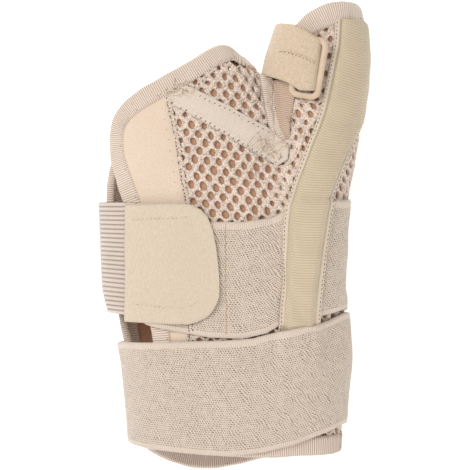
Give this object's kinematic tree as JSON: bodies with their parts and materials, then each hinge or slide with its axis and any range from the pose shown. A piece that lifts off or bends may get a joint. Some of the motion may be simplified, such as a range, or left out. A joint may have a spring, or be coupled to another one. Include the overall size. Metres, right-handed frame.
{
  "type": "thumb spica splint",
  "caption": "Thumb and wrist splint of air mesh over a tan lining, with a ribbed stay sleeve, a thumb strap in a plastic ring, and hook-and-loop straps round the hand and wrist.",
  "frame": {"origin": "middle of the face that the splint lies on, at the lowest point of the straps' back", "axes": "+Y from the wrist end to the thumb tip, +X to the thumb side, +Z out of the palm"},
  "size_m": [0.1196, 0.205, 0.0566],
  "materials": {
    "air_mesh": "knitted air mesh with rows of holes",
    "lining": "brushed lining",
    "loop_panel": "brushed loop",
    "binding": "ribbed tape",
    "sleeve": "ribbed webbing",
    "elastic": "knitted loop elastic",
    "webbing": "ribbed elastic",
    "tab": "brushed tab",
    "thumb_strap": "loop pile",
    "ring": "satin moulded"
  },
  "bodies": {
    "root": {"mesh_shell": "air_mesh", "side_panel": "loop_panel", "lining": "lining", "rim_binding": "binding", "thumb_binding": "binding", "web_tape": "binding", "stay_sleeve": "sleeve", "loop_band": "elastic", "strap_webbing": "webbing", "hook_tab": "tab", "wrist_strap": "elastic", "thumb_ring": "ring", "thumb_strap": "thumb_strap"}
  },
  "joints": []
}
